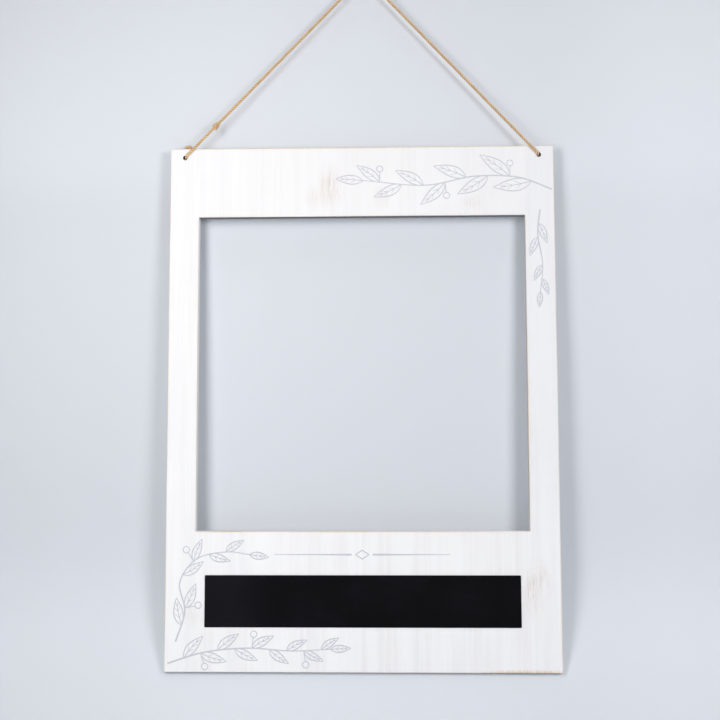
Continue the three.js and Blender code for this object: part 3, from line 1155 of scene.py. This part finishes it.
# The rear knots: where their middles lie, how the strand winds, and its lead-in and tails as steps right,
# back and up from the middle, in millimetres
REAR_KNOT_BACK = 13.6 * MM
REAR_WRAP_HALF = 1.3 * MM
REAR_WRAP_ORBIT = 2.75 * MM
REAR_WRAPS = 1.5
REAR_POINTS = 24
REAR_STEP = 0.45 * MM
REAR_START_FULL = 0.35
REAR_RISE = 0.18
REAR_SQUEEZE = 0.9
REAR_FREE_SHARE = 0.3
TAIL_SWELL = 1.25
TAIL_SWELL_LENGTH = 9 * MM
LEFT_KNOT_SEED = 41
RIGHT_KNOT_SEED = 53
REAR_LEAD_IN = [(0, -5, 0), (0, -3, 0), (0, 0, 0), (0, 1.4, 0)]
LEFT_TAIL = [
    (2.6, -1.2, 3.2),
    (3.2, -1.0, 7.0),
    (3.6, -0.8, 11.0),
    (4.3, -0.7, 13.8),
    (4.0, -0.7, 15.4),
    (2.8, -0.7, 16.1),
    (0.8, -0.7, 16.2),
    (-1.7, -0.7, 16.1),
]
RIGHT_TAIL = [(-2.8, -1.7, -3.2), (-1.6, -1.2, -6.5), (0.8, -0.8, -10.5), (3.0, -0.6, -15.0)]


def build_rear_knot(side, mouth, start_turn, tail, seed):
    """A stopper knot behind a hole: through the middle, round itself, and away as a loose tail."""
    middle = mouth + BACKWARDS * REAR_KNOT_BACK

    def at(aside, back, up):
        return middle + np.array((aside, back, up))

    route = [at(*in_metres(steps)) for steps in REAR_LEAD_IN]
    for i in range(1, REAR_POINTS + 1):
        share = i / REAR_POINTS
        turn = start_turn + 2 * math.pi * REAR_WRAPS * share
        orbit = REAR_WRAP_ORBIT * smooth_step(REAR_START_FULL + share / REAR_RISE)
        back = REAR_WRAP_HALF * (1 - 2 * share)
        route.append(at(orbit * math.cos(turn), back, orbit * math.sin(turn)))
    route += [at(*in_metres(steps)) for steps in tail]
    line = smooth_route(route, REAR_STEP)
    strand = Strand()
    step = np.linalg.norm(line[1] - line[0])
    to_end = step * np.arange(len(line) - 1, -1, -1)
    free = np.linspace(-1.0, 1.0, len(line)).clip(0.0, REAR_FREE_SHARE) / REAR_FREE_SHARE
    opened = (2 * (1 - to_end / TAIL_SWELL_LENGTH)).clip(0.0, 1.0)
    fullness = REAR_SQUEEZE + (1 - REAR_SQUEEZE) * free + (TAIL_SWELL - 1) * opened
    strand.add_plies(line, fullness, seed)
    dice = random.Random(seed)
    # The first third lies in the hole and in the knot
    strand.add_fuzz(line[len(line) // 3:], dice)
    strand.add_frayed_end(line, dice)
    knot = strand.make(f"{side}_rear_knot_twine")
    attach(knot, "board")
    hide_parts(f"{side}_rear_knot")
    return knot


def build_twine():
    line = hanger_route()
    strand = Strand()
    strand.add_plies(line)
    strand.add_fuzz(line, random.Random(TWINE_SEED))
    twine = strand.make("hanger_twine")
    knots = [
        build_joining_knot(),
        build_rear_knot("left", LEFT_MOUTH, math.pi, LEFT_TAIL, LEFT_KNOT_SEED),
        build_rear_knot("right", RIGHT_MOUTH, 0.0, RIGHT_TAIL, RIGHT_KNOT_SEED),
    ]
    start = tuple(LEFT_MOUTH + UPWARDS * BLEND_FROM)
    end = tuple(LEFT_MOUTH + UPWARDS * BLEND_TO)
    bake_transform(twine, "board", "hanger", start=start, end=end)
    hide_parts("twine_short_length", "twine_long_length")
    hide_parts("left_hole_strand", "right_hole_strand")


# Print: plain sprigs of leaves and a divider, in thin lines on the board's face

INK_FRONT = FRONT_Y - 0.03 * MM
INK_BACK = FRONT_Y + 0.02 * MM
INK_LAYER = 0.001 * MM
INK_STEP = 1.5 * MM
STEM_WIDTH = 1.9 * MM
STEM_TAPER = 0.5
LEAF_LINE_WIDTH = 1.3 * MM
PRINT_MARGIN = 3 * MM
LEAF_POINTS = 19
LEAF_ANGLE = 38
LEAF_CURL = 0.14
LEAF_BELLY = 0.8
LEAF_TAPER = 0.4
LEAF_SHRINK = 0.3
TIP_LEAF = 0.7
MIDRIB_REACH = 0.85
MIDRIB_TAPER = (0.9, 0.3)
LEAF_VEINS = (0.3, 0.5, 0.68)
VEIN_TAPER = (0.6, 0.3)
VEIN_POINTS = 4
VEIN_REACH = 0.7
BUD_EVERY = 3
BUD_ANGLE = 84
BUD_STALK = 12 * MM
BUD_RADIUS = 3.6 * MM
BUD_LINE_WIDTH = 0.8 * LEAF_LINE_WIDTH
BUD_POINTS = 19
STALK_POINTS = 6

# The sprigs: the corners they start from, their stems as steps inwards from there, in millimetres, and
# their leaves' length, width and spacing
TOP_RIGHT = (BOARD_RIGHT, BOARD_TOP)
BOTTOM_LEFT = (BOARD_LEFT, BOARD_BOTTOM)
TOP_SPRIGS = [
    ((3, 52), (40, 38), (92, 36), (148, 46), (222, 40)),
    ((17, 76), (20, 104), (15, 140), (18, 172)),
]
FOOT_SPRIGS = [
    ((4, 10), (44, 22), (94, 27), (144, 24), (188, 26)),
    ((13, 34), (23, 68), (17, 100), (36, 126), (72, 134), (96, 131)),
]
TOP_LEAVES = ((46 * MM, 15 * MM, 25 * MM), (26 * MM, 8.5 * MM, 16 * MM))
FOOT_LEAVES = ((33 * MM, 11 * MM, 20 * MM), (32 * MM, 11 * MM, 20 * MM))

# The divider between the window and the panel
DIVIDER_ABOVE_EDGE = 131 * MM
DIVIDER_GAP = 12 * MM
DIVIDER_RULE = 88 * MM
DIVIDER_LOZENGE = (7.5 * MM, 5.0 * MM)
DIVIDER_TAPER = (1.1, 0.3)
RULE_POINTS = 12
LOZENGE_POINTS = 4


def turned(way, degrees):
    """A direction on the board's face, turned within it."""
    a = math.radians(degrees)
    x, _, z = way
    return np.array((x * math.cos(a) - z * math.sin(a), 0.0, x * math.sin(a) + z * math.cos(a)))


class Print:
    """Gathers thin printed lines into one mesh."""

    def __init__(self):
        self.vertices = []
        self.faces = []
        self.count = 0

    def add_line(self, line, widths):
        """A flat closed ribbon along a line on the board's face, a little higher than the line before."""
        tangents = unit(np.gradient(line, axis=0))
        front = INK_FRONT - INK_LAYER * self.count
        self.count += 1
        rings = []
        for point, tangent, width in zip(line, tangents, widths):
            side = np.array((tangent[2], 0.0, -tangent[0])) * width / 2
            left, right = point - side, point + side
            rings.append([
                (left[0], front, left[2]),
                (right[0], front, right[2]),
                (right[0], INK_BACK, right[2]),
                (left[0], INK_BACK, left[2]),
            ])
        vertices, faces = loft(rings, len(self.vertices))
        self.vertices += vertices
        self.faces += faces

    def add_leaf(self, base, way, length, width, curl):
        """The two sides of a leaf, a midrib that stops short of its tip, and some veins."""
        side = np.array((way[2], 0.0, -way[0]))
        share = np.linspace(0, 1, LEAF_POINTS)
        spine = base + np.outer(share * length, way) + np.outer(curl * length * share ** 2, side)
        swell = np.outer(width / 2 * np.sin(math.pi * share ** LEAF_BELLY), side)
        if not on_face(np.vstack([spine + swell, spine - swell])):
            return
        widths = LEAF_LINE_WIDTH * (1 - LEAF_TAPER * (1 - np.sin(math.pi * share)))
        self.add_line(spine + swell, widths)
        self.add_line(spine - swell, widths)
        rib = round(LEAF_POINTS * MIDRIB_REACH)
        self.add_line(spine[:rib], LEAF_LINE_WIDTH * np.linspace(*MIDRIB_TAPER, LEAF_POINTS)[:rib])
        for vein in LEAF_VEINS:
            low = round(vein * (LEAF_POINTS - 1))
            high = low + VEIN_POINTS - 1
            widths = LEAF_LINE_WIDTH * np.linspace(*VEIN_TAPER, VEIN_POINTS)
            for hand in (-1, 1):
                tip = spine[high] + hand * VEIN_REACH * swell[high]
                self.add_line(np.linspace(spine[low], tip, VEIN_POINTS), widths)

    def add_bud(self, base, way):
        """A round bud on a short stalk."""
        share = np.linspace(0, 1, STALK_POINTS)
        stalk = base + np.outer(share * BUD_STALK, way)
        middle = stalk[-1] + way * BUD_RADIUS
        turns = np.linspace(0, 360, BUD_POINTS)
        ring = np.array([middle - BUD_RADIUS * turned(way, turn) for turn in turns])
        if not on_face(ring):
            return
        self.add_line(stalk, np.full(len(stalk), BUD_LINE_WIDTH))
        self.add_line(ring, np.full(len(ring), BUD_LINE_WIDTH))

    def add_sprig(self, line, length, width, spacing):
        """A stem with leaves on either side by turns, a bud here and there, and a leaf at its tip."""
        tangents = unit(np.gradient(line, axis=0))
        share = np.linspace(0, 1, len(line))
        self.add_line(line, STEM_WIDTH * (1 - STEM_TAPER * share))
        hop = round(spacing / np.linalg.norm(line[1] - line[0]))
        for count, i in enumerate(range(hop, len(line) - hop // 2, hop)):
            hand = 1 if count % 2 == 0 else -1
            size = 1 - LEAF_SHRINK * share[i]
            way = turned(tangents[i], hand * LEAF_ANGLE)
            self.add_leaf(line[i], way, size * length, size * width, hand * LEAF_CURL)
            if count % BUD_EVERY == 1:
                self.add_bud(line[i], turned(tangents[i], hand * BUD_ANGLE))
        self.add_leaf(line[-1], tangents[-1], TIP_LEAF * length, TIP_LEAF * width, 0.0)

    def make(self, name):
        piece = new_piece(name, self.vertices, self.faces, INK)
        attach(piece, "board")


def on_face(points):
    """Whether points on the board's face keep clear of its edges, the window and the panel."""
    low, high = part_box("writing_panel")
    x, z = points[:, 0], points[:, 2]

    def within(left, right, bottom, top, margin):
        return (x > left - margin) & (x < right + margin) & (z > bottom - margin) & (z < top + margin)

    board = within(BOARD_LEFT, BOARD_RIGHT, BOARD_BOTTOM, BOARD_TOP, -PRINT_MARGIN)
    window = within(WINDOW_LEFT, WINDOW_RIGHT, WINDOW_BOTTOM, WINDOW_TOP, PRINT_MARGIN)
    panel = within(low.x, high.x, low.z, high.z, PRINT_MARGIN)
    return bool(np.all(board & ~window & ~panel))


def inward_line(corner, right, up, steps):
    """A smooth line on the board's face from steps inwards from one of its corners."""
    x, z = corner
    return smooth_route([(x + right * MM * a, 0.0, z + up * MM * b) for a, b in steps], INK_STEP)


def build_print():
    top = Print()
    for steps, leaves in zip(TOP_SPRIGS, TOP_LEAVES):
        top.add_sprig(inward_line(TOP_RIGHT, -1, -1, steps), *leaves)
    top.make("top_sprig_print")
    foot = Print()
    for steps, leaves in zip(FOOT_SPRIGS, FOOT_LEAVES):
        foot.add_sprig(inward_line(BOTTOM_LEFT, 1, 1, steps), *leaves)
    foot.make("foot_sprig_print")

    divider = Print()
    aside = np.array((1.0, 0.0, 0.0))
    middle = np.array(((BOARD_LEFT + BOARD_RIGHT) / 2, 0.0, BOARD_BOTTOM + DIVIDER_ABOVE_EDGE))
    half_width, half_height = DIVIDER_LOZENGE
    for hand in (-1, 1):
        reach = np.linspace(DIVIDER_GAP, DIVIDER_GAP + DIVIDER_RULE, RULE_POINTS)
        rule = middle + np.outer(hand * reach, aside)
        divider.add_line(rule, STEM_WIDTH * np.linspace(*DIVIDER_TAPER, RULE_POINTS))
        for lift in (-1, 1):
            corner = middle + hand * half_width * aside
            tip = middle + lift * half_height * UPWARDS
            side = np.linspace(corner, tip, LOZENGE_POINTS)
            divider.add_line(side, np.full(LOZENGE_POINTS, LEAF_LINE_WIDTH))
    divider.make("divider_print")


# Stage, lamps and camera

def rays_that_see(tree):
    """1 for the rays that should see the backdrop itself, 0 for those that only carry light."""
    path = put(tree, "ShaderNodeLightPath")
    seen = calc(tree, "MAXIMUM", path.outputs["Is Camera Ray"], path.outputs["Is Glossy Ray"])
    return calc(tree, "MAXIMUM", seen, path.outputs["Is Transmission Ray"])


def paper_colour(tree):
    """The paper's colour, painted a little lighter or darker towards its edges as painted light and shade.
    """
    place = parts_of(tree, object_place(tree))
    tone = 1.0
    for axis, start, end, change in PAPER_LIGHT_AND_SHADE_TONES:
        tone = calc(tree, "ADD", tone, ramp(tree, place[axis], start, end, 0.0, change))
    return vector_calc(tree, "SCALE", PAPER_COLOUR[:3], tone)


def paper_material():
    """Paper that the camera sees from its front and near the board.

    Light that goes straight to what the camera sees passes through all of it but its foot.
    """
    material, tree, shader = new_material("backdrop_paper")
    tree.links.new(paper_colour(tree), shader.inputs["Base Color"])
    shader.inputs["Roughness"].default_value = PAPER_ROUGHNESS
    shader.inputs["Specular IOR Level"].default_value = PAPER_SHINE
    path = put(tree, "ShaderNodeLightPath").outputs
    bounced = calc(tree, "GREATER_THAN", path["Ray Depth"], BOUNCED_DEPTH)
    place = parts_of(tree, object_place(tree))
    aside = ramp(tree, calc(tree, "ABSOLUTE", place["X"]), *PAPER_SHOWN_ASIDE, 1.0, 0.0)
    ahead = ramp(tree, calc(tree, "MULTIPLY", place["Y"], -1.0), *PAPER_SHOWN_AHEAD, 1.0, 0.0)
    above = ramp(tree, place["Z"], *PAPER_SHOWN_ABOVE, 1.0, 0.0)
    near = calc(tree, "MULTIPLY", calc(tree, "MULTIPLY", aside, ahead), above)
    foot = calc(tree, "LESS_THAN", place["Z"], BOARD_BOTTOM)
    unseen = calc(tree, "SUBTRACT", 1.0, path["Is Camera Ray"])
    stopped = calc(tree, "MULTIPLY", unseen, calc(tree, "MAXIMUM", bounced, foot))
    seen = calc(tree, "MULTIPLY", path["Is Camera Ray"], near)
    back = put(tree, "ShaderNodeNewGeometry").outputs["Backfacing"]
    front = calc(tree, "SUBTRACT", 1.0, back)
    shown = calc(tree, "MULTIPLY", calc(tree, "ADD", seen, stopped), front)
    clear = put(tree, "ShaderNodeBsdfTransparent")
    mix = put(tree, "ShaderNodeMixShader")
    tree.links.new(shown, mix.inputs[0])
    tree.links.new(clear.outputs[0], mix.inputs[1])
    tree.links.new(shader.outputs[0], mix.inputs[2])
    tree.links.new(mix.outputs[0], tree.nodes["Material Output"].inputs["Surface"])
    return material


def build_stage():
    hang = smooth_route([(0.0, y, z) for y, z in PAPER_PROFILE], PAPER_STEP)
    profile = [(y, z) for _, y, z in hang]
    low_y, low_z = profile[-1]
    before_y, before_z = profile[-2]
    slope = (low_y - before_y) / (before_z - low_z)
    foot_y = low_y + slope * (low_z - PAPER_SWEEP_FROM)
    for k in range(PAPER_SWEEP_STEPS + 1):
        turn = math.pi / 2 * k / PAPER_SWEEP_STEPS
        forwards = PAPER_SWEEP_RADIUS * (1 - math.cos(turn))
        down = PAPER_SWEEP_RADIUS * math.sin(turn)
        profile.append((foot_y - forwards, PAPER_SWEEP_FROM - down))
    profile.append((PAPER_FRONT, profile[-1][1]))
    vertices = []
    for y, z in profile:
        vertices += [(-PAPER_HALF_WIDTH, y, z), (PAPER_HALF_WIDTH, y, z)]
    faces = []
    for i in range(len(profile) - 1):
        low = 2 * i
        faces.append((low + 2, low + 3, low + 1, low))
    mesh = bpy.data.meshes.new("backdrop")
    mesh.from_pydata(vertices, [], faces)
    mesh.materials.append(paper_material())
    mesh.shade_smooth()
    sheet = put_in_scene("backdrop", mesh)


def build_world():
    world = bpy.data.worlds.new("studio")
    world.use_nodes = True
    tree = world.node_tree
    colour = tinted(tree, rays_that_see(tree), AMBIENT_COLOUR, BACKDROP_COLOUR)
    tree.links.new(colour, tree.nodes["Background"].inputs["Color"])
    bpy.context.scene.world = world


def soft_lamp(name, place, width, height, power, colour):
    """A broad lamp aimed at the middle of the board."""
    middle = Vector(((BOARD_LEFT + BOARD_RIGHT) / 2, FRONT_Y, (BOARD_BOTTOM + BOARD_TOP) / 2))
    data = bpy.data.lights.new(name, "AREA")
    data.shape = "RECTANGLE"
    data.size = width
    data.size_y = height
    data.energy = power
    data.color = colour
    lamp = put_in_scene(name, data)
    lamp.location = place
    lamp.rotation_mode = "QUATERNION"
    lamp.rotation_quaternion = (middle - Vector(place)).to_track_quat("-Z", "Y")


def place_camera():
    look = Vector(CAMERA_LOOK).normalized()
    side = look.cross(Vector(CAMERA_UP)).normalized()
    up = side.cross(look)
    turn = Matrix((side, up, -look)).transposed()
    data = bpy.data.cameras.new("photo_camera")
    data.lens = CAMERA_LENS
    data.sensor_width = CAMERA_SENSOR
    camera = put_in_scene("photo_camera", data)
    camera.matrix_world = Matrix.Translation(CAMERA_PLACE) @ turn.to_4x4()
    bpy.context.scene.camera = camera


place_camera()
build_twine()
build_board()
build_panel()
build_print()
build_stage()
build_world()
for lamp_name, lamp_values in LAMPS.items():
    soft_lamp(lamp_name, *lamp_values)
bpy.context.scene.view_settings.view_transform = "Standard"
